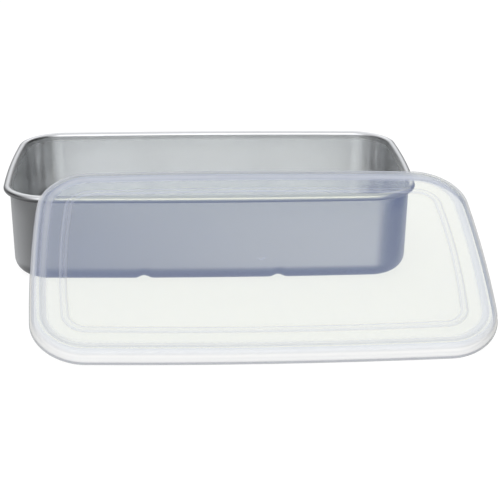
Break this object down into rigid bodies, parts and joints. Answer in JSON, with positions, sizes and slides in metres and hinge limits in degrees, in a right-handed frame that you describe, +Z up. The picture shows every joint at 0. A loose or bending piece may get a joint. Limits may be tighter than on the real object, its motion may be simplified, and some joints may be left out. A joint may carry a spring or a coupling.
{
  "type": "loaf pan",
  "caption": "Shallow rectangular metal loaf pan with rounded corners and a rolled rim, and a translucent press-on lid that leans on the front rim.",
  "frame": {"origin": "centre of the pan's base, on the plane that the pan stands on", "axes": "+X along the pan's long side, -Y towards the leaning lid at the pan's front, +Z up"},
  "size_m": [0.2961, 0.2736, 0.0714],
  "materials": {
    "pan_metal": "satin drawn stainless steel, fine even grain",
    "lid_plastic": "milky translucent moulded polyethylene, soft gloss"
  },
  "bodies": {
    "pan_body": {"pan": "pan_metal"},
    "lid_body": {"lid": "lid_plastic"}
  },
  "joints": [
    {"name": "lid_lift", "type": "slide", "parent": "pan_body", "child": "lid_body", "axis": [0, 0, 1], "range_m": [0, 0.1]}
  ]
}
